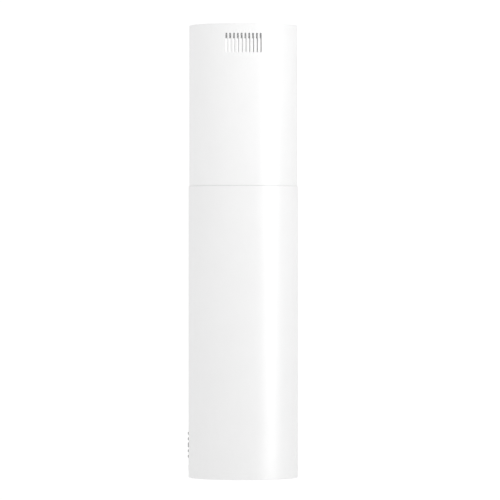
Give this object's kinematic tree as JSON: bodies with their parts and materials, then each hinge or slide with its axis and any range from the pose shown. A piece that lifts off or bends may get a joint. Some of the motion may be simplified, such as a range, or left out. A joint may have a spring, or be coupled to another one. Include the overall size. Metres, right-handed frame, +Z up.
{
  "type": "air purifier hood",
  "caption": "Ceiling-hung kitchen air purifier: white two-length cylindrical casing with outlet slots, blower, grease and carbon filters, lamps and push buttons.",
  "frame": {"origin": "centre of the ceiling plate's upper face, where the hood meets the ceiling", "axes": "+Z up, -Y towards the side with the buttons, the two outlet grilles face -X and +X"},
  "size_m": [0.3899, 0.3923, 1.61],
  "materials": {
    "white_steel": "satin white powder coat",
    "galvanised_steel": "zinc-coated sheet",
    "zinc_fasteners": "zinc plated",
    "fan_plastic": "moulded, fine grain",
    "motor_grey": "die cast, matt",
    "bright_steel": "ground",
    "copper_winding": "enamelled wire",
    "carbon_cassette": "moulded grid over carbon granules",
    "circuit_board": "solder mask",
    "white_plastic": "smooth",
    "can_aluminium": "drawn",
    "gland_plastic": "moulded",
    "carrier_plastic": "moulded",
    "button_metal": "satin",
    "display_window": "dark tinted",
    "badge_metal": "brushed, blank",
    "lamp_metal": "satin",
    "lamp_glass": "frosted",
    "filter_aluminium": "anodised",
    "filter_mesh_metal": "expanded mesh",
    "handle_plastic": "moulded",
    "magnet_black": "sintered",
    "seal_felt": "pressed felt",
    "lead_grey": "extruded",
    "lead_black": "extruded",
    "lead_white": "extruded"
  },
  "bodies": {
    "frame": {"ceiling_plate": "galvanised_steel", "upper_rail_front_left": "galvanised_steel", "upper_rail_front_right": "galvanised_steel", "upper_rail_back_left": "galvanised_steel", "upper_rail_back_right": "galvanised_steel", "frame_straps": "galvanised_steel"},
    "upper_casing": {"upper_casing": "white_steel", "casing_brackets": "galvanised_steel", "casing_screws": "zinc_fasteners"},
    "carbon_left": {"carbon_left": "carbon_cassette"},
    "carbon_right": {"carbon_right": "carbon_cassette"},
    "impeller": {"impeller": "fan_plastic", "motor_shaft": "bright_steel", "motor_rotor": "bright_steel"},
    "flap_front": {"flap_front": "fan_plastic"},
    "flap_back": {"flap_back": "fan_plastic"},
    "button_1": {"button_1": "button_metal"},
    "button_2": {"button_2": "button_metal"},
    "button_3": {"button_3": "button_metal"},
    "button_4": {"button_4": "button_metal"},
    "grease_filter": {"filter_frame": "filter_aluminium", "filter_mesh": "filter_mesh_metal", "filter_handle": "handle_plastic", "filter_magnets": "magnet_black"},
    "lower_unit": {"lower_casing": "white_steel", "seam_strip": "seal_felt", "bottom_plate": "white_steel", "deck_plate": "galvanised_steel", "lower_rail_front_left": "galvanised_steel", "lower_rail_front_right": "galvanised_steel", "lower_rail_back_left": "galvanised_steel", "lower_rail_back_right": "galvanised_steel", "clamp_screws": "zinc_fasteners", "scroll_left": "fan_plastic", "scroll_right": "fan_plastic", "blower_screws": "zinc_fasteners", "inlet_grille": "fan_plastic", "motor_bracket": "motor_grey", "motor_case": "motor_grey", "motor_cap": "motor_grey", "stator": "copper_winding", "motor_bearings": "bright_steel", "run_capacitor": "can_aluminium", "outlet_duct": "fan_plastic", "duct_collar": "fan_plastic", "flap_pin": "bright_steel", "control_box": "galvanised_steel", "control_box_lid": "galvanised_steel", "main_board": "circuit_board", "cable_gland": "gland_plastic", "led_driver": "white_plastic", "lamp_bodies": "lamp_metal", "lamp_lenses": "lamp_glass", "panel_carrier": "carrier_plastic", "panel_board": "circuit_board", "display_lens": "display_window", "badge_plate": "badge_metal", "panel_lead": "lead_grey", "motor_lead": "lead_black", "lamp_lead": "lead_white"}
  },
  "joints": [
    {"name": "height_adjust", "type": "slide", "parent": "frame", "child": "lower_unit", "axis": [0, 0, 1], "range_m": [0, 0.4]},
    {"name": "casing_drop", "type": "slide", "parent": "frame", "child": "upper_casing", "axis": [0, 0, 1], "range_m": [-0.15, 0]},
    {"name": "fan_spin", "type": "hinge", "parent": "lower_unit", "child": "impeller", "pos_m": [0, -0.0477, -1.424], "axis": [1, 0, 0], "continuous": true},
    {"name": "carbon_left_twist", "type": "hinge", "parent": "lower_unit", "child": "carbon_left", "pos_m": [-0.084, -0.0477, -1.424], "axis": [-1, 0, 0], "range_deg": [0, 60]},
    {"name": "carbon_right_twist", "type": "hinge", "parent": "lower_unit", "child": "carbon_right", "pos_m": [0.084, -0.0477, -1.424], "axis": [-1, 0, 0], "range_deg": [0, 60]},
    {"name": "flap_front_swing", "type": "hinge", "parent": "lower_unit", "child": "flap_front", "pos_m": [0, 0, -1.224], "axis": [-1, 0, 0], "range_deg": [0, 75]},
    {"name": "flap_back_swing", "type": "hinge", "parent": "lower_unit", "child": "flap_back", "pos_m": [0, 0, -1.224], "axis": [1, 0, 0], "range_deg": [0, 75]},
    {"name": "filter_tilt", "type": "hinge", "parent": "lower_unit", "child": "grease_filter", "pos_m": [0, 0.12076, -1.6023], "axis": [1, 0, 0], "range_deg": [0, 70]},
    {"name": "button_1_press", "type": "slide", "parent": "lower_unit", "child": "button_1", "axis": [0, 1, 0], "range_m": [0, 0.0015], "stiffness_N_per_m": 1000, "springref_m": -0.0005},
    {"name": "button_2_press", "type": "slide", "parent": "lower_unit", "child": "button_2", "axis": [0, 1, 0], "range_m": [0, 0.0015], "stiffness_N_per_m": 1000, "springref_m": -0.0005},
    {"name": "button_3_press", "type": "slide", "parent": "lower_unit", "child": "button_3", "axis": [0, 1, 0], "range_m": [0, 0.0015], "stiffness_N_per_m": 1000, "springref_m": -0.0005},
    {"name": "button_4_press", "type": "slide", "parent": "lower_unit", "child": "button_4", "axis": [0, 1, 0], "range_m": [0, 0.0015], "stiffness_N_per_m": 1000, "springref_m": -0.0005}
  ]
}
